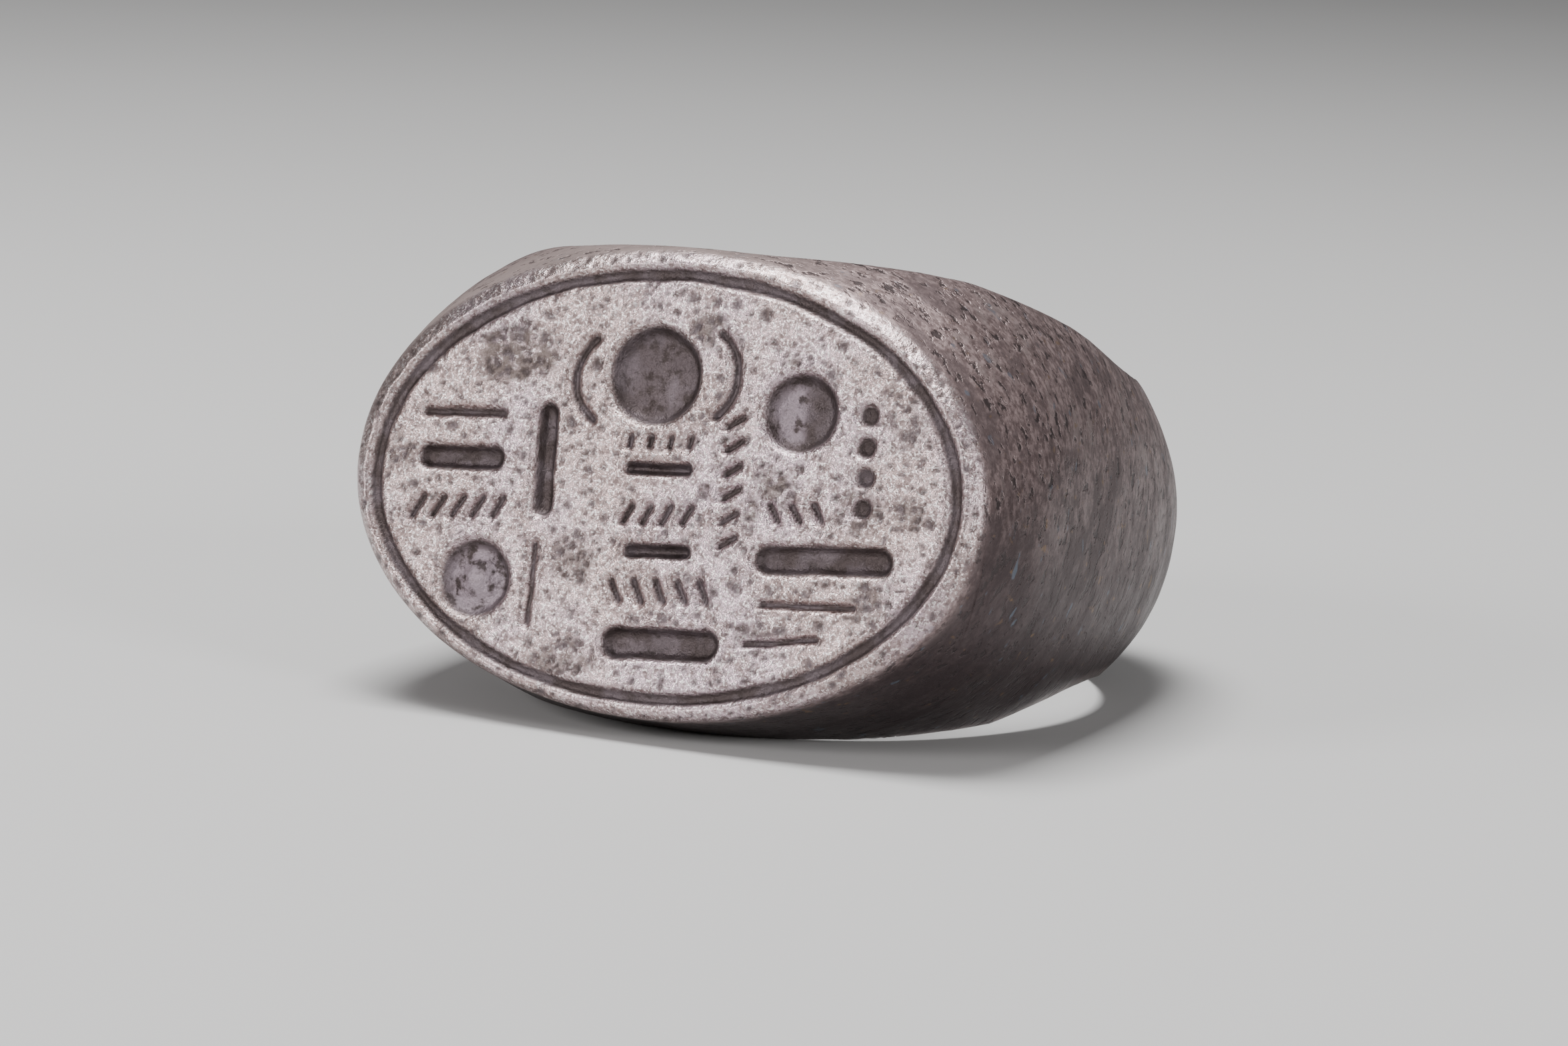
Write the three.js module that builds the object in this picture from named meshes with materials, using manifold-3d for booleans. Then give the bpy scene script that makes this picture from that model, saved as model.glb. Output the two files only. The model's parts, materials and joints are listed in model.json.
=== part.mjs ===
// An ancient cast seal ring, lying on its side: one solid casting with an oval sealing face, full shoulders
// and a crowned hoop that narrows to the back. Millimetres, +Z up, the face towards -Y.
import * as THREE from "three";
import { mergeVertices } from "three/addons/utils/BufferGeometryUtils.js";
import Module from "manifold-3d";

// Driving dimensions of the casting. Depth runs back from the sealing face.
const faceHalfLength = 10.3;
const faceHalfHeight = 7.02;
const edgeRadius = 0.42;
const shoulderHalfWidth = 11.35;
const shoulderDepth = 4.3;
const ringDepth = 22.85;
const headDepth = 8.0;
const crownHeight = 8.85; // greatest height above the middle plane
const soleHeight = 8.67; // greatest height below it
const crownSwell = 1.25; // power of the curve from the face up to the crown
const soleSwell = 1.4; // power of the curve from the face down to the sole
const hoopPower = 3.3; // how square the hoop's back is, seen along the finger
const crownTaper = 1.9; // how late the hoop narrows towards the back, above
const soleTaper = 2.26; // the same, below
const crownPower = 2.4; // fullness of a slice through the shoulders, above; 2 is an ellipse
const solePower = 2.26; // the same, below
const backSlim = 0.33; // fullness that the crown loses between these two depths
const slimFrom = 9;
const slimTo = 19;
const crownLump = 0.36; // the crown is uneven: this much higher on one side
const lumpMiddle = 5;
const lumpSpread = 5;
const lumpFade = 2; // depth over which the lump comes in at the face and goes out at the back
const hoopRise = 0.1; // the hoop climbs this much for each millimetre behind the face

// The finger hole.
const holeRadius = 9.5;
const holeDepth = 11.7; // from the face to the hole's axis

// The border line and the engraved strokes.
const lineHalfLength = 9.64;
const lineHalfHeight = 6.4;
const lineWidth = 0.46;
const lineCut = 0.22;
const fieldTurn = THREE.MathUtils.degToRad(5); // the rows stand a little askew in the oval

// How it lies: the face leans back, and worn flats under the head and the back of the hoop carry it.
const lean = THREE.MathUtils.degToRad(14.3);
const flatCut = 0.09;

// Mesh fineness.
const aroundSegments = 72;
const edgeRows = 3;
const bodyRows = 26;
const holeSegments = 64;
const strokeSides = 8;
const capRows = 3;
const dimpleSegments = 18;
const lineSegments = 48;

const wasm = await Module();
wasm.setup();

// A closed three.js geometry as a solid that can be cut and joined.
function solid(geometry) {
  const bare = geometry.clone();
  bare.deleteAttribute("normal");
  bare.deleteAttribute("uv");
  const merged = mergeVertices(bare, 1e-4);
  return new wasm.Manifold(
    new wasm.Mesh({
      numProp: 3,
      vertProperties: merged.attributes.position.array,
      triVerts: new Uint32Array(merged.index.array),
    }),
  );
}

// A solid back as a three.js geometry.
function geometryOf(made) {
  const mesh = made.getMesh();
  const geometry = new THREE.BufferGeometry();
  geometry.setAttribute("position", new THREE.BufferAttribute(new Float32Array(mesh.vertProperties), 3));
  geometry.setIndex(new THREE.BufferAttribute(new Uint32Array(mesh.triVerts), 1));
  geometry.computeVertexNormals();
  return geometry;
}

// Half width of the casting at a depth: it swells behind the face, then closes round the back of the finger.
function halfWidth(depth) {
  if (depth < shoulderDepth) {
    return shoulderHalfWidth - (shoulderHalfWidth - faceHalfLength) * (1 - depth / shoulderDepth) ** 2;
  }
  const share = (depth - shoulderDepth) / (ringDepth - shoulderDepth);
  return shoulderHalfWidth * Math.max(0, 1 - share ** hoopPower) ** (1 / hoopPower);
}

// A height that follows its front curve out to the head, then closes to the back as a superellipse.
function tapered(depth, front, full, taper) {
  if (depth < headDepth) {
    return front;
  }
  const share = (depth - headDepth) / (ringDepth - headDepth);
  return full * Math.max(0, 1 - share ** taper) ** (1 / taper);
}

// Height above the middle plane at a depth and a place across, with the crown's lump.
function crownReach(depth, across) {
  const front = crownHeight - (crownHeight - faceHalfHeight) * Math.max(0, 1 - depth / headDepth) ** crownSwell;
  const lump = crownLump * Math.exp(-(((across - lumpMiddle) / lumpSpread) ** 2));
  const fade = Math.min(1, depth / lumpFade, (ringDepth - depth) / lumpFade);
  return tapered(depth, front, crownHeight, crownTaper) + lump * fade;
}

// Height below the middle plane at a depth.
function soleReach(depth) {
  const front = faceHalfHeight + (soleHeight - faceHalfHeight) * (depth / headDepth) ** soleSwell;
  return tapered(depth, front, soleHeight, soleTaper);
}

// How far the rounded edge of the face pulls a slice in.
function edgePull(depth) {
  const inside = Math.max(0, 1 - depth / edgeRadius);
  return edgeRadius * (1 - Math.sqrt(1 - inside ** 2));
}

// The depths of the slices: close together round the edge of the face and at the back.
function sliceDepths() {
  const depths = [];
  for (let row = 0; row < edgeRows; row += 1) {
    depths.push(edgeRadius * (1 - Math.cos(((row / edgeRows) * Math.PI) / 2)));
  }
  for (let row = 0; row <= bodyRows; row += 1) {
    const share = Math.sin(((row / bodyRows) * Math.PI) / 2);
    depths.push(edgeRadius + (ringDepth - edgeRadius) * share);
  }
  return depths;
}

// The fullness of a slice: an ellipse at the face, fuller through the shoulders, slimmer at the back.
function slicePower(depth, above) {
  const slim = backSlim * THREE.MathUtils.clamp((depth - slimFrom) / (slimTo - slimFrom), 0, 1);
  const full = above ? crownPower - slim : solePower;
  return 2 + (full - 2) * Math.min(1, depth / shoulderDepth);
}

// A point of the slice at a depth, on its superellipse.
function slicePoint(depth, angle, target) {
  const above = angle < Math.PI;
  const power = slicePower(depth, above);
  const cosine = Math.cos(angle);
  const sine = Math.sin(angle);
  const pull = edgePull(depth);
  const width = Math.max(0, halfWidth(depth) - pull);
  const across = width * Math.sign(cosine) * Math.abs(cosine) ** (2 / power);
  const tall = above ? crownReach(depth, across) : soleReach(depth);
  const height = Math.max(0, tall - pull) * Math.sign(sine) * Math.abs(sine) ** (2 / power);
  return target.set(across, depth, height + hoopRise * depth);
}

// The casting before it is bored: a sphere whose rows are carried to the slices, one pole in the face.
function casting() {
  const depths = sliceDepths();
  const rows = depths.length;
  const geometry = new THREE.SphereGeometry(1, aroundSegments, rows);
  const position = geometry.getAttribute("position");
  const point = new THREE.Vector3();
  for (let row = 0; row <= rows; row += 1) {
    for (let step = 0; step <= aroundSegments; step += 1) {
      const angle = (2 * Math.PI * (step % aroundSegments)) / aroundSegments;
      if (row === 0) {
        point.set(0, 0, 0);
      } else {
        slicePoint(depths[row - 1], angle, point);
      }
      position.setXYZ(row * (aroundSegments + 1) + step, point.x, point.y, point.z);
    }
  }
  return solid(geometry);
}

// The finger hole, square to the climbing hoop.
function fingerHole() {
  const geometry = new THREE.CylinderGeometry(holeRadius, holeRadius, 4 * crownHeight, holeSegments);
  geometry.rotateX(Math.PI / 2 + Math.atan(hoopRise));
  geometry.translate(0, holeDepth, hoopRise * holeDepth);
  return solid(geometry);
}

// The border line: an oval channel of even width.
function borderLine() {
  const outer = new THREE.Shape();
  const half = lineWidth / 2;
  outer.absellipse(0, 0, lineHalfLength + half, lineHalfHeight + half, 0, 2 * Math.PI);
  const inner = new THREE.Path();
  inner.absellipse(0, 0, lineHalfLength - half, lineHalfHeight - half, 0, 2 * Math.PI);
  outer.holes.push(inner);
  const geometry = new THREE.ExtrudeGeometry(outer, {
    depth: 2 * lineCut,
    bevelEnabled: false,
    curveSegments: lineSegments,
  });
  geometry.translate(0, 0, -lineCut);
  geometry.rotateX(Math.PI / 2);
  return solid(geometry);
}

// Puts a cutter that was made along X about the face's middle at its place in the turned field.
function inField(geometry, x, z, turn) {
  geometry.rotateY(-turn);
  geometry.translate(x, 0, z);
  geometry.rotateY(-fieldTurn);
  return solid(geometry);
}

// One straight stroke with round ends, its bed an ellipse of the stated depth.
function stroke({ x, z, length, width, cut, turn = 0 }) {
  const geometry = new THREE.CapsuleGeometry(width / 2, length - width, capRows, strokeSides);
  geometry.rotateZ(Math.PI / 2);
  geometry.scale(1, (2 * cut) / width, 1);
  return inField(geometry, x, z, THREE.MathUtils.degToRad(turn));
}

// A round dimple.
function dimple({ x, z, radius, cut }) {
  const geometry = new THREE.SphereGeometry(radius, dimpleSegments, dimpleSegments / 2);
  geometry.scale(1, cut / radius, 1);
  return inField(geometry, x, z, 0);
}

// A bowed stroke: part of a ring, open towards the bearing that faces away from its middle.
function bow({ x, z, radius, width, cut, sweep, turn }) {
  const arc = THREE.MathUtils.degToRad(sweep);
  const half = width / 2;
  const shape = new THREE.Shape();
  shape.absarc(0, 0, radius + half, -arc / 2, arc / 2, false);
  shape.absarc(0, 0, radius - half, arc / 2, -arc / 2, true);
  const geometry = new THREE.ExtrudeGeometry(shape, {
    depth: 2 * cut,
    bevelEnabled: false,
    curveSegments: strokeSides,
  });
  geometry.translate(0, 0, -cut);
  geometry.rotateX(Math.PI / 2);
  return inField(geometry, x, z, THREE.MathUtils.degToRad(turn));
}

// A row of like strokes, evenly spaced along a line at the bearing given.
function strokeRow({ count, pitch, bearing = 0, ...one }) {
  const made = [];
  const along = THREE.MathUtils.degToRad(bearing);
  for (let place = 0; place < count; place += 1) {
    const step = (place - (count - 1) / 2) * pitch;
    const x = one.x + step * Math.cos(along);
    const z = one.z + step * Math.sin(along);
    made.push(one.radius ? dimple({ ...one, x, z }) : stroke({ ...one, x, z }));
  }
  return made;
}

// The engraving: rows of plain strokes, bows and dimples, in four blocks from left to right.
function engraving() {
  const thin = { width: 0.32, cut: 0.26 };
  const broad = { width: 0.8, cut: 0.42 };
  return [
    stroke({ ...thin, x: -6.75, z: 2.15, length: 3.0, width: 0.42 }),
    stroke({ ...broad, x: -6.75, z: 0.75, length: 3.0 }),
    ...strokeRow({ ...thin, count: 5, pitch: 0.68, x: -6.75, z: -0.75, length: 0.95, turn: 60 }),
    dimple({ x: -5.98, z: -2.95, radius: 1.2, cut: 0.5 }),
    stroke({ ...broad, x: -3.9, z: 0.75, length: 3.5, width: 0.72, turn: 90 }),
    stroke({ ...thin, x: -4.05, z: -3.05, length: 2.7, width: 0.28, turn: 88 }),
    dimple({ x: -0.4, z: 3.35, radius: 1.5, cut: 0.62 }),
    bow({ ...thin, x: -1.5, z: 3.2, radius: 1.55, width: 0.42, sweep: 105, turn: 180 }),
    bow({ ...thin, x: 0.75, z: 3.4, radius: 1.55, width: 0.42, sweep: 105, turn: 0 }),
    ...strokeRow({ ...thin, count: 4, pitch: 0.66, x: -0.1, z: 1.35, length: 0.6, turn: 75 }),
    stroke({ ...broad, x: -0.1, z: 0.52, length: 2.3, width: 0.45 }),
    ...strokeRow({ ...thin, count: 4, pitch: 0.66, x: -0.05, z: -0.85, length: 0.85, turn: 60 }),
    stroke({ ...broad, x: 0.05, z: -1.95, length: 2.3, width: 0.5 }),
    ...strokeRow({ ...thin, count: 5, pitch: 0.72, x: 0.2, z: -3.15, length: 1.0, width: 0.36, turn: 115 }),
    stroke({ ...broad, x: 0.35, z: -4.75, length: 3.9, width: 1.0, cut: 0.48 }),
    ...strokeRow({ ...thin, count: 6, pitch: 0.72, bearing: 90, x: 2.35, z: 0.2, length: 0.85, turn: 30 }),
    dimple({ x: 4.45, z: 2.3, radius: 1.2, cut: 0.55 }),
    ...strokeRow({ count: 4, pitch: 0.92, bearing: 90, x: 6.65, z: 0.85, radius: 0.36, cut: 0.26 }),
    ...strokeRow({ ...thin, count: 3, pitch: 0.7, x: 4.5, z: -0.7, length: 0.85, turn: 120 }),
    stroke({ ...broad, x: 5.5, z: -2.1, length: 4.5, width: 0.92 }),
    stroke({ ...thin, x: 5.1, z: -3.45, length: 3.3 }),
    stroke({ ...thin, x: 4.3, z: -4.55, length: 2.6, turn: 6 }),
  ];
}

// The lowest the leaning casting reaches below the middle of its face.
function lowestReach(made) {
  const mesh = made.getMesh();
  let lowest = 0;
  for (let i = 0; i < mesh.vertProperties.length; i += mesh.numProp) {
    const depth = mesh.vertProperties[i + 1];
    const height = mesh.vertProperties[i + 2];
    lowest = Math.min(lowest, height * Math.cos(lean) - depth * Math.sin(lean));
  }
  return lowest;
}

// What is worn off below the level that the ring lies at, as a block leaning the other way.
function groundBlock(level) {
  const side = 4 * ringDepth;
  const geometry = new THREE.BoxGeometry(side, side, side);
  geometry.translate(0, 0, level - side / 2);
  geometry.rotateX(lean);
  return solid(geometry);
}

const bored = casting().subtract(fingerHole());
const restLevel = lowestReach(bored) + flatCut;
const worn = bored.subtract(groundBlock(restLevel));
const cut = engraving().reduce((made, cutter) => made.subtract(cutter), worn.subtract(borderLine()));

const silver = new THREE.MeshStandardMaterial({ color: 0x8f8884, metalness: 0.9, roughness: 0.5 });
const sealRing = new THREE.Mesh(geometryOf(cut), silver);
sealRing.name = "seal_ring";
sealRing.rotation.x = -lean;
sealRing.updateMatrixWorld(true);

// The origin is under the middle of the lying ring.
const box = new THREE.Box3().setFromObject(sealRing, true);
const middle = box.getCenter(new THREE.Vector3());
sealRing.position.set(-middle.x, -middle.y, -restLevel);

const ring = new THREE.Group();
ring.add(sealRing);

export default ring;
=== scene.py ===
"""A worn cast silver seal ring lying on its side: one casting with a cut oval face, on a pale floor."""

import json
import math

import bpy
import numpy as np
from mathutils import Matrix, Vector


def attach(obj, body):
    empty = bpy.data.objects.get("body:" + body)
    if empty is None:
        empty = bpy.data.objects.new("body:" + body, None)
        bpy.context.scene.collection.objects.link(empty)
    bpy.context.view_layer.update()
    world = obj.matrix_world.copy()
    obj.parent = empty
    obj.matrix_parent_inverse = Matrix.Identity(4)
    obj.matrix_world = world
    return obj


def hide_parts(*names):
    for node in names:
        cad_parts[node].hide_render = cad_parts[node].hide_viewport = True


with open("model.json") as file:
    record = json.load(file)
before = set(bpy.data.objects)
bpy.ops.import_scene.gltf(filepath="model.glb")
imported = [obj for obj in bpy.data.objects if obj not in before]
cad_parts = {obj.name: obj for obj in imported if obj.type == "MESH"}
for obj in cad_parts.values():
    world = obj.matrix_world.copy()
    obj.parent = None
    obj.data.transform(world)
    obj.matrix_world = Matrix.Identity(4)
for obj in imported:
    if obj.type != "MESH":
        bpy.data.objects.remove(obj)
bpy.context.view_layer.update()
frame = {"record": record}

MM = 0.001

# The casting, in millimetres. Depth runs back from the sealing face.
FACE_LENGTH, FACE_HEIGHT = 10.3, 7.02
EDGE_RADIUS = 0.42
SHOULDER_WIDTH, SHOULDER_DEPTH = 11.35, 4.3
RING_DEPTH, HEAD_DEPTH = 22.85, 8.0
CROWN_HEIGHT, CROWN_SWELL, CROWN_POWER = 9.0, 1.25, 2.4
CROWN_LUMP, LUMP_MIDDLE, LUMP_SPREAD, LUMP_FADE = 0.38, 6.5, 5.0, 2.0
SOLE_HEIGHT, SOLE_SWELL, SOLE_POWER = 8.67, 1.4, 2.26
HOOP_POWER, CROWN_TAPER, SOLE_TAPER, HOOP_RISE = 3.3, 1.9, 2.26, 0.1
HOLE_RADIUS, HOLE_DEPTH = 9.5, 11.7
BACK_SLIM, SLIM_FROM, SLIM_TO = 0.4, 9.0, 19.0
EDGE_EASE, RIM_EASE, RIM_REACH = 0.1, 0.55, 2.0

# The border line and the field of strokes on the face.
LINE_LENGTH, LINE_HEIGHT = 9.64, 6.4
LINE_WIDTH, LINE_CUT = 0.46, 0.22
LINE_TURN, FIELD_TURN = math.radians(1.56), math.radians(5)

# How fine the skin is: columns round the finger, rows round the wall's section.
COLUMNS, ROWS = 420, 236
FACE_STEP, HOOP_STEP = 0.073, 0.4
FACE_TURN, HOOP_RADIUS = math.radians(43), 11.0
RAYS, SAMPLES = 2400, 3000

# How much the wear on the hoop is drawn out round the face's axis.
WEAR_STRETCH = 0.55


# Noise.


def lattice(ix, iy, iz, seed):
    """A repeatable number from 0 to 1 for every whole-number place: its three counts mixed into one hash."""
    h = (ix * 374761393 + iy * 668265263 + iz * 1440662683 + seed * 974711) & 0xFFFFFFFF
    h = ((h ^ (h >> 13)) * 1274126177) & 0xFFFFFFFF
    h = ((h ^ (h >> 16)) * 2246822519) & 0xFFFFFFFF
    return ((h ^ (h >> 15)) & 0xFFFF) / 65535.0


def clouds(x, y, z, grain, seed, octaves=3):
    """Soft noise from -1 to 1: lattice numbers a grain apart, eased between, with finer layers on top."""
    total, share, whole = 0.0, 1.0, 0.0
    for octave in range(octaves):
        step = grain / 2**octave
        parts = [np.asarray(c, float) / step for c in (x, y, z)]
        base = [np.floor(p).astype(np.int64) for p in parts]
        f = [p - b for p, b in zip(parts, base)]
        f = [c * c * (3 - 2 * c) for c in f]
        value = 0.0
        for i in (0, 1):
            for j in (0, 1):
                for k in (0, 1):
                    corner = lattice(base[0] + i, base[1] + j, base[2] + k, seed + octave)
                    weight = (f[0] if i else 1 - f[0]) * (f[1] if j else 1 - f[1])
                    value = value + corner * weight * (f[2] if k else 1 - f[2])
        total = total + share * (2 * value - 1)
        whole += share
        share *= 0.5
    return total / whole


def bowls(x, y, cell, seed, chance, small, large):
    """Round pits, 0 on the skin and 1 at a pit's bottom: at most one in each square cell, at a lattice place
    and of a lattice radius, its depth falling with the square of the distance from its middle."""
    cx, cy = np.floor(x / cell).astype(np.int64), np.floor(y / cell).astype(np.int64)
    deepest = np.zeros_like(x)
    for i in (-1, 0, 1):
        for j in (-1, 0, 1):
            gx, gy = cx + i, cy + j
            px = (gx + 0.15 + 0.7 * lattice(gx, gy, gx * 0 + 1, seed)) * cell
            py = (gy + 0.15 + 0.7 * lattice(gx, gy, gx * 0 + 2, seed)) * cell
            radius = small + (large - small) * lattice(gx, gy, gx * 0 + 3, seed) ** 2
            there = lattice(gx, gy, gx * 0 + 4, seed) < chance
            fall = 1 - ((x - px) ** 2 + (y - py) ** 2) / radius**2
            deepest = np.maximum(deepest, np.where(there, np.clip(fall, 0, 1), 0))
    return deepest


def ease(low, high, value):
    """0 below low, 1 above high, and a smooth step between."""
    s = np.clip((value - low) / (high - low), 0, 1)
    return s * s * (3 - 2 * s)


# The casting's shape.


def half_width(depth):
    """Swells from the face to the shoulders as a parabola, then closes round the finger as a superellipse."""
    to_go = np.clip(1 - depth / SHOULDER_DEPTH, 0, None)
    front = SHOULDER_WIDTH - (SHOULDER_WIDTH - FACE_LENGTH) * to_go**2
    share = np.clip((depth - SHOULDER_DEPTH) / (RING_DEPTH - SHOULDER_DEPTH), 0, 1)
    back = SHOULDER_WIDTH * (1 - share**HOOP_POWER) ** (1 / HOOP_POWER)
    return np.where(depth < SHOULDER_DEPTH, front, back)


def tapered(depth, front, full, taper):
    """A height that follows its front curve to the head, then closes to the back as a superellipse."""
    share = np.clip((depth - HEAD_DEPTH) / (RING_DEPTH - HEAD_DEPTH), 0, 1)
    return np.where(depth < HEAD_DEPTH, front, full * (1 - share**taper) ** (1 / taper))


def crown_reach(u, depth):
    """Height over the middle plane: a power curve levelling off at the head, with a low lump on one side."""
    to_go = np.clip(1 - depth / HEAD_DEPTH, 0, 1)
    front = CROWN_HEIGHT - (CROWN_HEIGHT - FACE_HEIGHT) * to_go**CROWN_SWELL
    lump = CROWN_LUMP * np.exp(-(((u - LUMP_MIDDLE) / LUMP_SPREAD) ** 2))
    lump = lump * np.clip(depth / LUMP_FADE, 0, 1)
    return tapered(depth, front, CROWN_HEIGHT, CROWN_TAPER) + lump


def sole_reach(depth):
    """Height under the middle plane: a power curve that falls faster towards the head."""
    front = FACE_HEIGHT + (SOLE_HEIGHT - FACE_HEIGHT) * np.clip(depth / HEAD_DEPTH, 0, 1) ** SOLE_SWELL
    return tapered(depth, front, SOLE_HEIGHT, SOLE_TAPER)


def inside(u, depth, w):
    """True inside the unbored casting: each slice is a superellipse, drawn in round the face's edge."""
    d = np.clip(depth, 0, RING_DEPTH)
    pull = np.clip(1 - d / EDGE_RADIUS, 0, 1)
    pull = EDGE_RADIUS * (1 - np.sqrt(1 - pull**2))
    rise = w - HOOP_RISE * d
    above = rise > 0
    slim = BACK_SLIM * np.clip((d - SLIM_FROM) / (SLIM_TO - SLIM_FROM), 0, 1)
    full = np.where(above, CROWN_POWER - slim, SOLE_POWER)
    power = 2 + (full - 2) * np.clip(d / SHOULDER_DEPTH, 0, 1)
    tall = np.where(above, crown_reach(u, d), sole_reach(d))
    across = np.abs(u) / np.maximum(half_width(d) - pull, 1e-6)
    upward = np.abs(rise) / np.maximum(tall - pull, 1e-6)
    return (across**power + upward**power <= 1) & (depth >= 0) & (depth <= RING_DEPTH)


def from_finger(turn, radius, along):
    """A place given round the finger's axis, as distance along the face, depth behind it and height up it."""
    tilt = math.sqrt(1 + HOOP_RISE**2)
    forward = radius * np.cos(turn)
    depth = HOLE_DEPTH - along * HOOP_RISE / tilt - forward / tilt
    height = HOOP_RISE * HOLE_DEPTH + along / tilt - forward * HOOP_RISE / tilt
    return radius * np.sin(turn), depth, height


def furthest(test, low, high, rounds=26):
    """The last distance along each ray that passes the test, by halving the stretch it must be in."""
    for _ in range(rounds):
        middle = 0.5 * (low + high)
        good = test(middle)
        low, high = np.where(good, middle, low), np.where(good, high, middle)
    return 0.5 * (low + high)


def column_turns():
    """The turn of each column about the finger: even steps along the face and longer ones round the hoop."""
    turn = np.linspace(-math.pi, math.pi, 4001)
    face_rate = HOLE_DEPTH / np.cos(np.clip(turn, -FACE_TURN, FACE_TURN)) ** 2 / FACE_STEP
    per_turn = np.where(np.abs(turn) < FACE_TURN, face_rate, HOOP_RADIUS / HOOP_STEP)
    kernel = np.exp(-0.5 * (np.arange(-90, 91) / 30.0) ** 2)
    per_turn = np.convolve(np.pad(per_turn, 90, mode="wrap"), kernel / kernel.sum(), mode="valid")
    total = np.concatenate([[0], np.cumsum(0.5 * (per_turn[1:] + per_turn[:-1]))])
    return np.interp(np.arange(COLUMNS) / COLUMNS, total / total[-1], turn)


def smooth_loop(values, width):
    """Each row of a closed loop averaged with its neighbours under a bell curve of that width, in samples."""
    count = values.shape[1]
    wave = np.fft.rfftfreq(count)
    bell = np.exp(-2 * (math.pi * wave * width) ** 2)
    return np.fft.irfft(np.fft.rfft(values, axis=1) * bell, n=count, axis=1)


def casting_skin():
    """The skin of the bored casting on a closed grid of columns round the finger and rows round the wall.
    In each column the wall's section is a convex outline, found by rays from its middle to the casting's
    surface outside and to the finger hole inside. The outline is cut into even lengths, its corners are eased
    with a bell curve, and the rows are spread closely on the face, less on the hoop and least in the hole."""
    turn = column_turns()[:, None]
    flat = np.zeros_like(turn)
    outer = furthest(lambda r: inside(*from_finger(turn, r, flat)), flat + HOLE_RADIUS, flat + 16)
    middle = 0.5 * (HOLE_RADIUS + outer)
    even = np.linspace(-math.pi, math.pi, RAYS, endpoint=False)
    along_face = np.linspace(-9.5, 9.5, RAYS // 2)
    angle = np.unique(np.concatenate([even, np.arctan2(along_face, 1.1)]))[None, :]

    def within(r):
        radius, along = middle + r * np.cos(angle), r * np.sin(angle)
        return inside(*from_finger(turn, radius, along)) & (radius >= HOLE_RADIUS)

    shape = (COLUMNS, angle.shape[1])
    length = furthest(within, np.zeros(shape), np.full(shape, 12.0))
    radius, along = middle + length * np.cos(angle), length * np.sin(angle)

    step = np.hypot(np.diff(radius, append=radius[:, :1]), np.diff(along, append=along[:, :1]))
    run = np.concatenate([np.zeros((COLUMNS, 1)), np.cumsum(step, axis=1)], axis=1)
    closed_r = np.concatenate([radius, radius[:, :1]], axis=1)
    closed_a = np.concatenate([along, along[:, :1]], axis=1)
    want = np.arange(SAMPLES) / SAMPLES
    even_r, even_a = np.zeros((COLUMNS, SAMPLES)), np.zeros((COLUMNS, SAMPLES))
    for c in range(COLUMNS):
        even_r[c] = np.interp(want * run[c, -1], run[c], closed_r[c])
        even_a[c] = np.interp(want * run[c, -1], run[c], closed_a[c])
    around = float(np.mean(run[:, -1]))
    top = even_a.max(axis=1, keepdims=True)
    from_rim = np.hypot(even_r - HOLE_RADIUS, even_a - top)
    rim = ease(RIM_REACH, 0.3 * RIM_REACH, from_rim) * ease(0.4, 1.3, from_finger(turn, even_r, even_a)[1])
    light, heavy = EDGE_EASE / around * SAMPLES, RIM_EASE / around * SAMPLES
    even_r = smooth_loop(even_r, light) * (1 - rim) + smooth_loop(even_r, heavy) * rim
    even_a = smooth_loop(even_a, light) * (1 - rim) + smooth_loop(even_a, heavy) * rim

    u, depth, w = from_finger(turn, even_r, even_a)
    hole_wall = even_r < HOLE_RADIUS + 0.06
    weight = np.where(hole_wall, 0.1, np.where(depth < 0.5, 1.0, 0.42))
    weight = np.clip(smooth_loop(weight, 0.5 / around * SAMPLES), 0.05, None)
    total = np.concatenate([np.zeros((COLUMNS, 1)), np.cumsum(weight, axis=1)], axis=1)
    grid_r, grid_a = np.zeros((COLUMNS, ROWS)), np.zeros((COLUMNS, ROWS))
    place = np.arange(SAMPLES + 1)
    for c in range(COLUMNS):
        at = np.interp(np.arange(ROWS) / ROWS, total[c] / total[c, -1], place)
        grid_r[c] = np.interp(at, place, np.append(even_r[c], even_r[c, 0]))
        grid_a[c] = np.interp(at, place, np.append(even_a[c], even_a[c, 0]))
    return turn, grid_r, grid_a


# The engraving.


def groove(distance, half, cut, wall):
    """Depth of a cut: a bed deepest along its middle, and smooth walls that slope over the wall's width."""
    side = ease(half + 0.35 * wall, half - 0.65 * wall, distance)
    return cut * side * (1 - 0.2 * np.clip(distance / half, 0, 1) ** 2)


def bar_distance(x, z, at, length, width, turn):
    """Distance to a straight stroke's middle line, a segment shorter than the stroke by its round ends."""
    a = math.radians(turn)
    dx, dz = x - at[0], z - at[1]
    along = dx * math.cos(a) + dz * math.sin(a)
    across = dz * math.cos(a) - dx * math.sin(a)
    beyond = np.clip(np.abs(along) - 0.5 * (length - width), 0, None)
    return np.hypot(across, beyond)


def bow_distance(x, z, at, radius, sweep, turn):
    """Distance to part of a circle: from the circle within its sweep, and from its ends beyond."""
    a = np.arctan2(z - at[1], x - at[0]) - math.radians(turn)
    a = (a + math.pi) % (2 * math.pi) - math.pi
    half = math.radians(sweep) / 2
    near = np.clip(a, -half, half) + math.radians(turn)
    return np.hypot(x - at[0] - radius * np.cos(near), z - at[1] - radius * np.sin(near))


def lip_beside(distance, half, gap, spread):
    """A worn lip along a cut: a bell curve whose middle is a gap beyond the cut's edge."""
    return np.exp(-(((distance - half - gap) / spread) ** 2))


def row_of(count, pitch, at, bearing=0.0):
    """Places evenly spaced along a line through a middle place."""
    b = math.radians(bearing)
    steps = (np.arange(count) - (count - 1) / 2) * pitch
    return [(at[0] + s * math.cos(b), at[1] + s * math.sin(b)) for s in steps]


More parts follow.
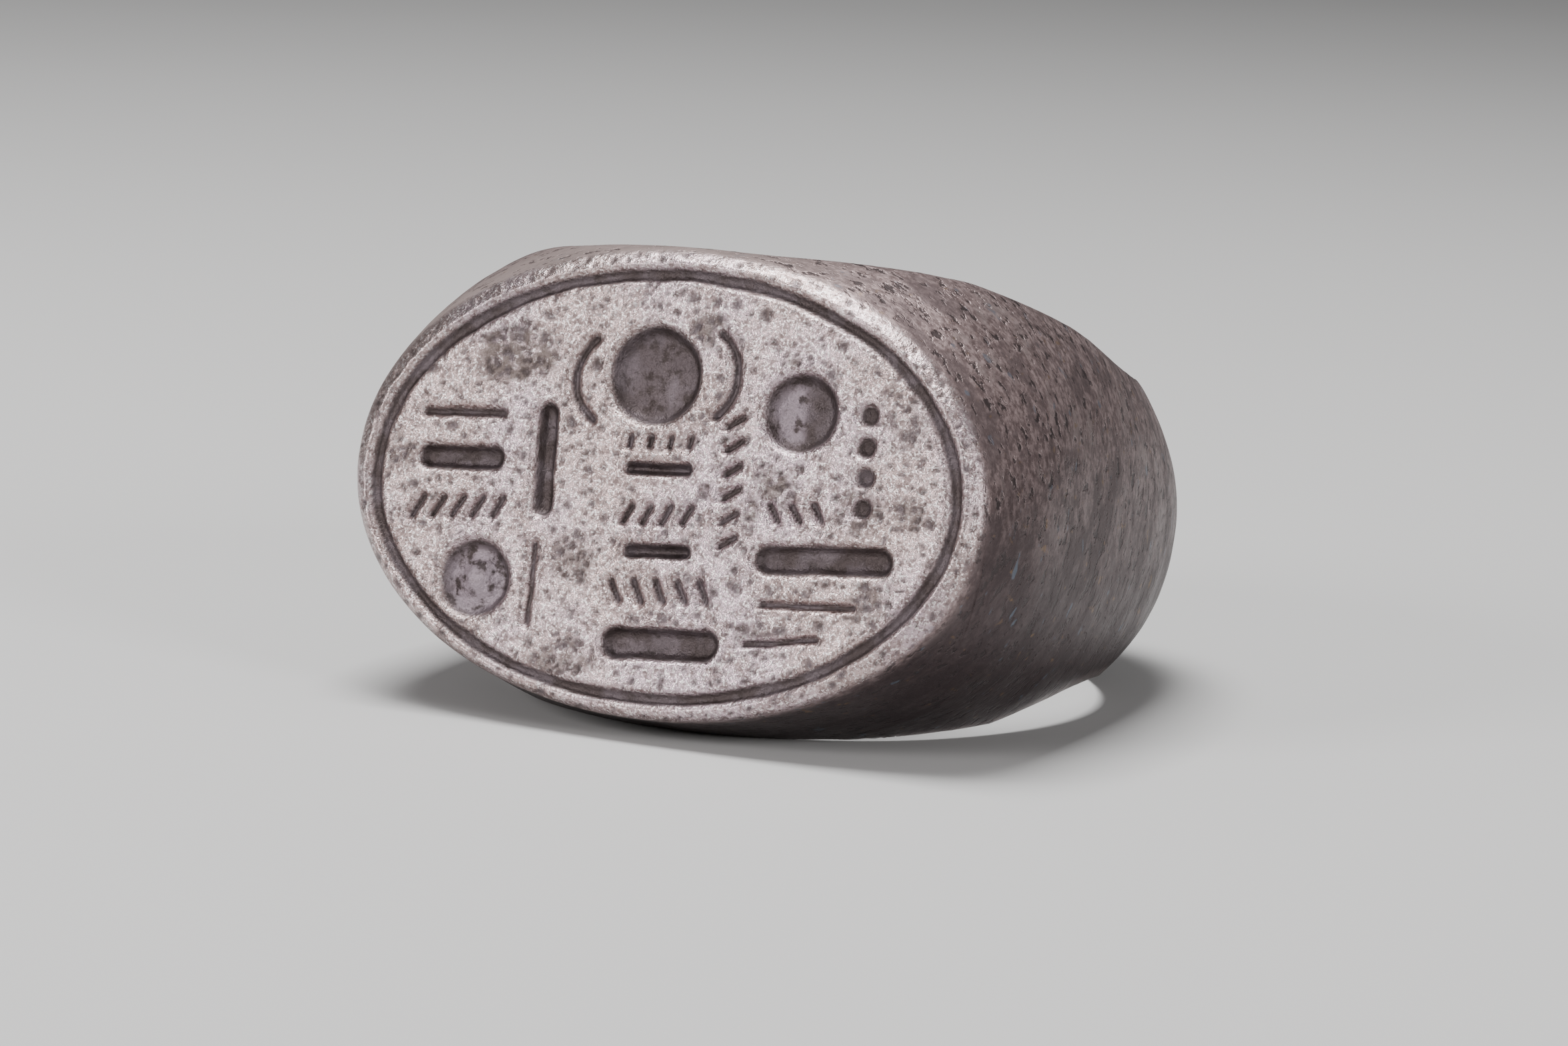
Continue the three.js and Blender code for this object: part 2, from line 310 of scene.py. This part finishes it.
# How far a worn lip lies from its cut and how wide it is, beside strokes and round dimples.
STROKE_LIP, DIMPLE_LIP = (0.14, 0.11), (0.16, 0.12)

# Straight strokes: middle, length, width, depth and turn. Then rows of them.
THIN, BROAD = 0.26, 0.42
BARS = [
    ((-6.75, 2.15), 3.0, 0.42, THIN, 0),
    ((-6.75, 0.75), 3.0, 0.8, BROAD, 0),
    ((-3.9, 0.75), 3.5, 0.72, BROAD, 90),
    ((-4.05, -3.05), 2.7, 0.28, THIN, 88),
    ((-0.1, 0.52), 2.3, 0.45, BROAD, 0),
    ((0.05, -1.95), 2.3, 0.5, BROAD, 0),
    ((0.35, -4.75), 3.9, 1.0, 0.48, 0),
    ((5.5, -2.1), 4.5, 0.92, BROAD, 0),
    ((5.1, -3.45), 3.3, 0.32, THIN, 0),
    ((4.3, -4.55), 2.6, 0.32, THIN, 6),
]
BARS += [(p, 0.95, 0.32, THIN, 60) for p in row_of(5, 0.68, (-6.75, -0.75))]
BARS += [(p, 0.6, 0.32, THIN, 75) for p in row_of(4, 0.66, (-0.1, 1.35))]
BARS += [(p, 0.85, 0.32, THIN, 60) for p in row_of(4, 0.66, (-0.05, -0.85))]
BARS += [(p, 1.0, 0.36, THIN, 115) for p in row_of(5, 0.72, (0.2, -3.15))]
BARS += [(p, 0.85, 0.32, THIN, 30) for p in row_of(6, 0.72, (2.35, 0.2), 90)]
BARS += [(p, 0.85, 0.32, THIN, 120) for p in row_of(3, 0.7, (4.5, -0.7))]

# Bows: middle, radius, width, depth, sweep and turn.
BOWS = [((-1.5, 3.2), 1.55, 0.42, THIN, 105, 180), ((0.75, 3.4), 1.55, 0.42, THIN, 105, 0)]

# Dimples: middle, radius, depth, height of the dome left in the bed, how light the bed is painted as a
# reflection, and whether only its left side is.
DIMPLES = [
    ((-5.98, -2.95), 1.2, 0.5, 0.3, 0.75, False),
    ((-0.4, 3.35), 1.5, 0.62, 0.1, 0.12, False),
    ((4.45, 2.3), 1.2, 0.55, 0.06, 0.6, True),
]
DIMPLES += [(p, 0.36, 0.26, 0.0, 0.0, False) for p in row_of(4, 0.92, (6.65, 0.85), 90)]

# Crusts of corrosion on the face: middle, half length, half height and strength.
CRUSTS = [
    (-5.35, 3.39, 1.6, 0.8, 1.0),
    (-8.58, 0.03, 0.6, 0.7, 0.7),
    (0.9, 4.87, 0.5, 0.45, 0.9),
    (3.73, 4.2, 0.35, 0.3, 0.8),
    (-2.51, -2.49, 0.9, 0.8, 0.75),
    (-2.1, -5.51, 1.1, 0.65, 0.8),
    (3.94, 0.43, 0.7, 0.7, 0.9),
    (3.15, -0.5, 0.35, 0.55, 0.8),
    (3.76, -4.12, 0.6, 0.5, 0.7),
    (6.65, -0.03, 0.7, 0.7, 1.0),
    (8.22, 0.05, 0.5, 0.55, 0.9),
    (7.3, -2.69, 0.8, 0.6, 0.8),
    (7.75, 2.92, 0.9, 1.3, 0.5),
]


def crusted(u, w):
    """How crusted the face is, 0 to 1: the strongest oval of the table there, its edge broken by noise."""
    torn = 0.75 * clouds(u, w, 0 * u + 2, 0.7, 32, 3)
    most = np.zeros_like(u)
    for cu, cw, length, height, strength in CRUSTS:
        off = np.hypot((u - cu) / length, (w - cw) / height)
        most = np.maximum(most, strength * ease(1.25, 0.45, off + torn))
    return most


def engraving(u, w):
    """Depth of the strokes at each place on the face, the worn lip beside them, and a painted reflection that
    lightens their beds.
    The places are shaken a little by noise, so the cut edges wander as a hand-cut edge does."""
    shaken_u = u + 0.05 * clouds(u, w, 0 * u + 3, 0.9, 11, 2)
    shaken_w = w + 0.05 * clouds(u, w, 0 * u + 7, 0.9, 13, 2)
    x = shaken_u * math.cos(FIELD_TURN) + shaken_w * math.sin(FIELD_TURN)
    z = shaken_w * math.cos(FIELD_TURN) - shaken_u * math.sin(FIELD_TURN)
    depth, lip, light = np.zeros_like(u), np.zeros_like(u), np.zeros_like(u)
    for at, length, width, cut, turn in BARS:
        d = bar_distance(x, z, at, length, width, turn)
        wall = min(max(0.85 * width, 0.26), 0.34)
        depth = np.maximum(depth, groove(d, width / 2, cut, wall))
        lip = np.maximum(lip, lip_beside(d, width / 2, *STROKE_LIP))
    for at, radius, width, cut, sweep, turn in BOWS:
        d = bow_distance(x, z, at, radius, sweep, turn)
        depth = np.maximum(depth, groove(d, width / 2, cut, 0.32))
        lip = np.maximum(lip, lip_beside(d, width / 2, *STROKE_LIP))
    for at, radius, cut, dome, pale, left_only in DIMPLES:
        d = np.hypot(x - at[0], z - at[1])
        bed = groove(d, radius, cut, min(0.5, 0.7 * radius)) - dome * np.exp(-((d / (0.5 * radius)) ** 2))
        depth = np.maximum(depth, bed)
        # Painted reflection: the dimple's bed is lightened lilac grey, on its left side only where the table
        # asks.
        side = ease(0.15, -0.15, (x - at[0]) / radius) if left_only else 1.0
        light = np.maximum(light, pale * side * ease(radius, 0.6 * radius, d))
        lip = np.maximum(lip, lip_beside(d, radius, *DIMPLE_LIP))
    return depth, lip, light


def border_line(u, w):
    """Distance from the oval line, signed outwards: how far the ellipse's equation is off, over its slope."""
    a = u * math.cos(LINE_TURN) + w * math.sin(LINE_TURN)
    b = w * math.cos(LINE_TURN) - u * math.sin(LINE_TURN)
    value = np.sqrt((a / LINE_LENGTH) ** 2 + (b / LINE_HEIGHT) ** 2) + 1e-9
    slope = np.sqrt((a / LINE_LENGTH**2) ** 2 + (b / LINE_HEIGHT**2) ** 2) / value + 1e-9
    return (value - 1) / slope


# The ring's mesh.


def sealing_face():
    """The mount at the middle of the sealing face, as the frame gives it."""
    return next(m for m in frame["record"]["mounts"] if m["name"] == "seal_face")


def ring_in_frame(u, depth, w):
    """Places given from the face's middle, carried to the frame by the sealing face's point and direction."""
    face = sealing_face()
    middle, out = np.array(face["pos_m"], float), np.array(face["axis"], float)
    out /= np.linalg.norm(out)
    right = np.array([1.0, 0.0, 0.0])
    up = np.cross(out, right)
    place = u[..., None] * right - depth[..., None] * out + w[..., None] * up
    return middle + MM * place


def grid_normals(p):
    """Outward direction at every point of the closed grid: the steps along rows and columns, crossed."""
    across = np.roll(p, -1, 0) - np.roll(p, 1, 0)
    along = np.roll(p, -1, 1) - np.roll(p, 1, 1)
    n = np.cross(across, along)
    return n / np.maximum(np.linalg.norm(n, axis=-1, keepdims=True), 1e-12)


def skin_mesh(places, reverse):
    """A smooth mesh of quads over the closed grid of places, turned over if its faces would look inwards."""
    count = COLUMNS * ROWS
    index = np.arange(count).reshape(COLUMNS, ROWS)
    next_c, next_r = np.roll(index, -1, 0), np.roll(index, -1, 1)
    quads = np.stack([index, next_c, np.roll(next_c, -1, 1), next_r], axis=-1).reshape(-1, 4)
    if reverse:
        quads = quads[:, ::-1]
    mesh = bpy.data.meshes.new("seal_ring_skin")
    mesh.vertices.add(count)
    mesh.vertices.foreach_set("co", places.reshape(-1).astype(np.float32))
    mesh.loops.add(quads.size)
    mesh.loops.foreach_set("vertex_index", quads.reshape(-1).astype(np.int32))
    mesh.polygons.add(len(quads))
    mesh.polygons.foreach_set("loop_start", np.arange(0, quads.size, 4, dtype=np.int32))
    mesh.update(calc_edges=True)
    mesh.polygons.foreach_set("use_smooth", np.ones(len(quads), bool))
    return mesh


def make_ring():
    """The ring: the casting's skin, sunk by the engraving, the border line, corrosion pits and wear, with
    marks for painted shade and highlights.
    """
    turn, radius, along = casting_skin()
    u, depth, w = from_finger(turn, radius, along)
    base = np.stack([u, depth, w], axis=-1)
    normal = grid_normals(base)
    outside = radius > HOLE_RADIUS + 0.5
    inwards = np.sum(normal[..., 1] * (depth - HOLE_DEPTH) * outside) < 0
    if inwards:
        normal = -normal

    outward = border_line(u, w)
    face = ease(0.25, 0.05, depth) * ease(0.62, 0.3, outward)
    outer = ease(HOLE_RADIUS + 0.05, HOLE_RADIUS + 0.4, radius)

    wander = 0.04 * clouds(u, w, 0 * u, 1.3, 21, 2)
    thick = LINE_WIDTH / 2 * (1 + 0.22 * clouds(u, w, 0 * u + 4, 1.1, 22, 2))
    line = groove(np.abs(outward + wander), thick, LINE_CUT, 0.24) * face
    cut, lip, light = engraving(u, w)
    cut, lip, light = cut * face, lip * face, light * face

    # Corrosion on the face: broken pits, close together in the crusts and thinly strewn elsewhere.
    field = face * ease(-0.12, -0.26, outward) * ease(0.06, 0.0, cut)
    bent_u = u + 0.14 * clouds(u, w, 0 * u + 8, 0.3, 33, 2)
    bent_w = w + 0.14 * clouds(u, w, 0 * u + 6, 0.3, 34, 2)
    rough = clouds(u, w, 0 * u + 1, 2.4, 31, 3)
    crust = crusted(u, w) * field
    strewn = bowls(bent_u, bent_w, 0.62, 41, 0.45, 0.1, 0.24)
    strewn = np.maximum(strewn, bowls(bent_w, bent_u, 0.3, 43, 0.4, 0.06, 0.13))
    close = bowls(bent_u, bent_w, 0.34, 42, 0.85, 0.1, 0.24) * ease(0.15, 0.5, crust + 0.35 * rough)
    pits = np.maximum(strewn, close) * field
    grain = clouds(u, w, 0 * u, 0.26, 51, 2)

    # On the hoop the wear runs round the face's axis: steps along that way count for less than steps across.
    rx, ry = HOOP_RADIUS * np.sin(turn) + 0 * along, HOOP_RADIUS * np.cos(turn) + 0 * along
    streak = clouds(u * 0.35, depth, w * 0.35, 0.6, 61, 3)
    dents = clouds(rx, ry, along, 2.6, 62, 2)
    hoop = (1 - ease(0.9, 0.1, depth)) * outer
    rim = ease(0.2, 0.34, outward) * ease(0.5, 0.12, depth) * outer
    nicks = clouds(u, w, depth, 0.5, 64, 3)
    rim_pits = bowls(u + 0.6 * depth, w + 0.1 * nicks, 0.42, 65, 0.75, 0.08, 0.22) * rim
    ridge = np.exp(-(((outward - 0.34) / 0.12) ** 2)) * ease(0.3, 0.1, depth)

    sink = cut + line + 0.03 * ease(0.0, 0.05, cut) * grain
    sink = sink + field * (0.016 * grain + 0.025 * rough) + 0.075 * pits + 0.05 * crust * (0.5 + 0.6 * grain)
    sink = sink + hoop * (0.02 * streak + 0.035 * dents) + 0.04 * rim * nicks + 0.06 * rim_pits - 0.05 * ridge
    sink = sink + (1 - outer) * 0.02 * dents - 0.03 * lip * ease(-0.16, -0.26, outward)
    place = base - normal * sink[..., None]

    world = ring_in_frame(place[..., 0], place[..., 1], place[..., 2])
    world[..., 2] = np.maximum(world[..., 2], 0.0)
    mesh = skin_mesh(world, inwards)

    # Rubbed bright and partly a painted highlight: the edges of the cuts and the rim. A painted highlight on
    # the head's top where it faces up and to the left, fading back to the hoop.
    upward = normal[..., 2] - 0.45 * normal[..., 0]
    head = ease(4.5, 0.4, depth) * ease(-0.2, 0.5, upward) * ease(6.5, -1.5, u) * outer
    # Worn mark: rubbed metal on the rim and the cut edges, partly a painted highlight.
    worn = np.clip(0.8 * lip * ease(-0.16, -0.26, outward) + 0.85 * rim, 0, 1)
    marks = {
        "cut": np.clip(ease(0.06, 0.22, cut) + ease(0.03, 0.16, line), 0, 1),
        "light": light,
        "pit": np.clip(np.maximum(pits, rim_pits), 0, 1),
        "crust": crust,
        "field": face * ease(0.36, 0.24, outward),
        "worn": worn,
        "head": head,
        # Painted shade: the hoop turns darker where it faces down.
        "under": ease(0.55, -0.3, normal[..., 2]) * hoop,
        "bore": 1 - outer,
    }
    for name, values in marks.items():
        layer = mesh.attributes.new(name, "FLOAT", "POINT")
        layer.data.foreach_set("value", values.reshape(-1).astype(np.float32))
    slices = mesh.attributes.new("slice", "FLOAT_VECTOR", "POINT")
    drawn_out = np.stack([WEAR_STRETCH * u, depth, WEAR_STRETCH * w], axis=-1) * MM
    slices.data.foreach_set("vector", drawn_out.reshape(-1).astype(np.float32))
    ring = bpy.data.objects.new("cast_seal_ring", mesh)
    bpy.context.scene.collection.objects.link(ring)
    return ring


# Finishes.


class Finish:
    """A node material for the workshop: short calls that add a node, set its values and join its inputs."""

    def __init__(self, name):
        self.material = bpy.data.materials.new(name)
        self.material.use_nodes = True
        self.tree = self.material.node_tree
        self.shader = self.tree.nodes["Principled BSDF"]

    def node(self, kind, values=None, **inputs):
        """A node of that kind with its values set. An input is named, or counted as i0, i1 and so on."""
        made = self.tree.nodes.new(kind)
        for key, value in (values or {}).items():
            setattr(made, key, value)
        for key, value in inputs.items():
            counted = key[0] == "i" and key[1:].isdigit()
            self.join(made.inputs[int(key[1:]) if counted else key], value)
        return made

    def join(self, socket, value):
        """Feeds an input from another node, or sets it to a plain value."""
        if isinstance(value, bpy.types.NodeSocket):
            self.tree.links.new(value, socket)
        else:
            socket.default_value = value

    def mark(self, name):
        """A number stored on the mesh."""
        return self.node("ShaderNodeAttribute", {"attribute_name": name}).outputs["Fac"]

    def spread(self, name):
        """A place stored on the mesh."""
        return self.node("ShaderNodeAttribute", {"attribute_name": name}).outputs["Vector"]

    def math(self, operation, a, b=0.0, clamp=False):
        """Two numbers joined by one operation."""
        values = {"operation": operation, "use_clamp": clamp}
        return self.node("ShaderNodeMath", values, i0=a, i1=b).outputs[0]

    def mix(self, share, a, b):
        """Colour a, turning to colour b as the share grows from 0 to 1."""
        made = self.node("ShaderNodeMix", {"data_type": "RGBA"})
        self.join(made.inputs["Factor"], share)
        self.join(made.inputs[6], a)
        self.join(made.inputs[7], b)
        return made.outputs[2]

    def blend(self, share, a, b):
        """Number a, turning to number b as the share grows from 0 to 1."""
        made = self.node("ShaderNodeMix", {"data_type": "FLOAT"})
        self.join(made.inputs["Factor"], share)
        self.join(made.inputs[2], a)
        self.join(made.inputs[3], b)
        return made.outputs[0]

    def places(self):
        """Places in the object's own metres."""
        return self.node("ShaderNodeTexCoord").outputs["Object"]

    def noise(self, places, scale, detail=3.0, rough=0.55):
        """Soft noise from 0 to 1, with about as many grains to the metre as its scale."""
        made = self.node("ShaderNodeTexNoise", Vector=places, Scale=scale, Detail=detail, Roughness=rough)
        return made.outputs["Fac"]

    def step(self, value, low, high, out_low=0.0, out_high=1.0):
        """A smooth step from one number to another as the value goes from low to high."""
        made = self.node("ShaderNodeMapRange", {"interpolation_type": "SMOOTHSTEP"}, Value=value)
        made.inputs["From Min"].default_value = low
        made.inputs["From Max"].default_value = high
        made.inputs["To Min"].default_value = out_low
        made.inputs["To Max"].default_value = out_high
        return made.outputs["Result"]


def rgb(red, green, blue):
    """A solid colour from its three linear shares."""
    return (red, green, blue, 1.0)


def worn_silver():
    """Cast silver: bright and grainy on the face and rim, brown-grey on the hoop, dark in every hollow, with
    painted shade under the hoop and painted highlights on the rim and the head's top.
    """
    f = Finish("worn_cast_silver")
    here = f.places()
    rubbed = f.spread("slice")
    cut, light, pit, crust = f.mark("cut"), f.mark("light"), f.mark("pit"), f.mark("crust")
    field, worn, head = f.mark("field"), f.mark("worn"), f.mark("head")
    bore, under = f.mark("bore"), f.mark("under")

    grain = f.noise(here, 4600, 4, 0.7)
    speck = f.noise(here, 11000, 3, 0.65)
    cloud = f.noise(here, 850, 4, 0.6)
    drift = f.noise(here, 240, 3, 0.5)
    streak = f.noise(rubbed, 6500, 4, 0.7)
    stain = f.noise(rubbed, 900, 5, 0.65)
    spots = f.noise(here, 2600, 3, 0.6)
    holes = f.noise(rubbed, 3800, 3, 0.6)

    # The rubbed metal: pinkish silver, darker in clouds, lilac in drifts, with fine dark grain and painted
    # near-white glints.
    bright = f.mix(f.step(drift, 0.4, 0.62), rgb(0.6, 0.465, 0.45), rgb(0.62, 0.49, 0.535))
    bright = f.mix(f.step(cloud, 0.48, 0.66, 0, 0.6), bright, rgb(0.35, 0.258, 0.24))
    bright = f.mix(f.step(grain, 0.54, 0.38, 0, 0.85), bright, rgb(0.2, 0.144, 0.137))
    # Painted glints: near-white specks in the colour.
    bright = f.mix(f.step(speck, 0.52, 0.62, 0, 0.95), bright, rgb(1.0, 0.91, 0.91))

    # The tarnish on the hoop: warm grey, darker in stains, with painted shade where it faces down, and a few
    # blue and ochre specks.
    tarnish = f.mix(f.step(streak, 0.36, 0.64), rgb(0.18, 0.128, 0.125), rgb(0.44, 0.33, 0.325))
    tarnish = f.mix(f.step(spots, 0.46, 0.6, 0, 0.5), tarnish, rgb(0.14, 0.1, 0.1))
    tarnish = f.mix(f.step(stain, 0.49, 0.6, 0, 0.7), tarnish, rgb(0.12, 0.089, 0.09))
    tarnish = f.mix(f.step(stain, 0.44, 0.34, 0, 0.5), tarnish, rgb(0.44, 0.352, 0.342))
    # Painted shade: near black on the hoop's underside.
    tarnish = f.mix(f.math("MULTIPLY", under, 0.9), tarnish, rgb(0.04, 0.027, 0.029))
    blue = f.noise(rubbed, 2600, 2, 0.5)
    tarnish = f.mix(f.step(blue, 0.66, 0.74, 0, 0.55), tarnish, rgb(0.13, 0.17, 0.22))
    ochre = f.noise(here, 2100, 2, 0.5)
    tarnish = f.mix(f.step(ochre, 0.66, 0.75, 0, 0.5), tarnish, rgb(0.24, 0.15, 0.075))
    tarnish = f.mix(f.step(holes, 0.44, 0.35, 0, 0.85), tarnish, rgb(0.045, 0.034, 0.035))

    # The beds of the cuts: dark brown-grey, with a painted lilac-grey reflection in some dimple beds.
    dark = f.mix(f.step(cloud, 0.42, 0.62), rgb(0.075, 0.056, 0.055), rgb(0.13, 0.104, 0.112))
    dark = f.mix(f.step(spots, 0.53, 0.66, 0, 0.6), dark, rgb(0.045, 0.033, 0.03))
    dark = f.mix(f.math("MULTIPLY", light, f.step(spots, 0.64, 0.45)), dark, rgb(0.42, 0.345, 0.39))

    # The face and the rim come through the tarnish, the rim partly as a painted highlight, and a painted
    # beige highlight lies on the head's top; pits, crusts and cuts lie over them.
    head_highlight = f.math("MULTIPLY", head, f.step(holes, 0.36, 0.46, 0.1, 0.85))
    tarnish = f.mix(head_highlight, tarnish, rgb(0.46, 0.365, 0.345))
    # The rim's bright band is rubbed metal and partly a painted highlight.
    show = f.math("MAXIMUM", field, worn)
    show = f.math("MULTIPLY", show, f.step(grain, 0.15, 0.34, 0.55, 1.0), clamp=True)
    colour = f.mix(show, tarnish, bright)
    scab = f.math("MULTIPLY", crust, f.step(spots, 0.38, 0.56, 0.1, 0.95))
    pitted = f.math("MULTIPLY", pit, f.step(grain, 0.25, 0.5, 0.65, 1.0))
    colour = f.mix(scab, colour, rgb(0.17, 0.132, 0.12))
    hollow = f.math("MAXIMUM", cut, pitted, clamp=True)
    colour = f.mix(hollow, colour, dark)
    colour = f.mix(bore, colour, rgb(0.12, 0.095, 0.094))
    f.join(f.shader.inputs["Base Color"], colour)

    foul = f.math("MAXIMUM", hollow, scab, clamp=True)
    clean = f.math("MULTIPLY", show, f.math("SUBTRACT", 1.0, foul))
    f.join(f.shader.inputs["Metallic"], f.blend(clean, 0.65, 0.97))
    gloss = f.blend(clean, f.step(stain, 0.3, 0.7, 0.36, 0.5), f.step(grain, 0.3, 0.7, 0.34, 0.2))
    f.join(f.shader.inputs["Roughness"], gloss)

    relief = f.math("ADD", f.math("MULTIPLY", grain, 0.45), f.math("MULTIPLY", speck, 0.36))
    hoop_pits = f.math("MULTIPLY", f.step(holes, 0.34, 0.46), 0.25)
    hoop_relief = f.math("ADD", f.math("MULTIPLY", streak, 0.2), hoop_pits)
    height = f.blend(show, hoop_relief, relief)
    bump = f.node("ShaderNodeBump", Height=height, Strength=0.85)
    bump.inputs["Distance"].default_value = 0.0001
    f.join(f.shader.inputs["Normal"], bump.outputs["Normal"])
    return f.material


def pale_floor():
    """Plain matt paper, very slightly cloudy."""
    f = Finish("pale_floor")
    soft = f.noise(f.places(), 12, 2, 0.5)
    f.join(f.shader.inputs["Base Color"], f.mix(soft, rgb(0.6, 0.595, 0.59), rgb(0.63, 0.625, 0.62)))
    f.shader.inputs["Roughness"].default_value = 0.8
    f.shader.inputs["Specular IOR Level"].default_value = 0.2
    return f.material


# The scene.


def make_floor():
    """A level square of paper under the ring."""
    half = 0.9
    corners = [(-half, -half, 0), (half, -half, 0), (half, half, 0), (-half, half, 0)]
    mesh = bpy.data.meshes.new("floor")
    mesh.from_pydata(corners, [], [(0, 1, 2, 3)])
    floor = bpy.data.objects.new("floor", mesh)
    bpy.context.scene.collection.objects.link(floor)
    floor.data.materials.append(pale_floor())
    return floor


def aim(place, target):
    """A turn that points a lamp's -Z from its place to the target."""
    return (Vector(target) - Vector(place)).to_track_quat("-Z", "Y").to_euler()


def soft_lamp(name, place, target, size, power, colour=(1, 1, 1)):
    """A square of soft light."""
    lamp = bpy.data.lights.new(name, "AREA")
    lamp.size, lamp.energy, lamp.color = size, power, colour
    made = bpy.data.objects.new(name, lamp)
    made.location, made.rotation_euler = place, aim(place, target)
    bpy.context.scene.collection.objects.link(made)


def make_camera():
    """The photograph's view: turned round the ring, a little above, and rolled slightly."""
    turn, rise, roll = math.radians(24.71), math.radians(9.49), math.radians(2.75)
    spin = Matrix.Rotation(turn, 3, "Z")
    forward = spin @ Vector((0, math.cos(rise), -math.sin(rise)))
    level = spin @ Vector((1, 0, 0))
    upright = spin @ Vector((0, math.sin(rise), math.cos(rise)))
    right = math.cos(roll) * level + math.sin(roll) * upright
    up = math.cos(roll) * upright - math.sin(roll) * level
    aside, below, away = 3.824 * MM, 0.938 * MM, 0.160
    target = Vector(sealing_face()["pos_m"]) + aside * level + Vector((0, 0, -below))
    place = target - away * forward
    camera = bpy.data.cameras.new("camera")
    sensor, picture_width, focal_length = 36, 2351, 8000
    camera.sensor_width, camera.lens = sensor, sensor * focal_length / picture_width
    camera.clip_start, camera.clip_end = 0.005, 10
    made = bpy.data.objects.new("camera", camera)
    pose = Matrix((right, up, -forward)).transposed().to_4x4()
    pose.translation = place
    made.matrix_world = pose
    bpy.context.scene.collection.objects.link(made)
    bpy.context.scene.camera = made


ring = make_ring()
ring.data.materials.append(worn_silver())
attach(ring, "root")
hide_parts("seal_ring")

make_floor()

middle = (0, 0, 0.007)
soft_lamp("top_lamp", (-0.04, 0.0, 0.3), middle, 0.14, 1.3)
soft_lamp("front_lamp", (-0.14, -0.27, 0.13), (0, -0.01, 0.007), 0.1, 0.5, (1.0, 0.98, 0.98))
soft_lamp("side_lamp", (0.28, -0.12, 0.12), middle, 0.1, 0.4)

world = bpy.data.worlds.new("studio")
world.use_nodes = True
world.node_tree.nodes["Background"].inputs["Color"].default_value = rgb(0.8, 0.8, 0.81)
world.node_tree.nodes["Background"].inputs["Strength"].default_value = 0.16
bpy.context.scene.world = world

make_camera()
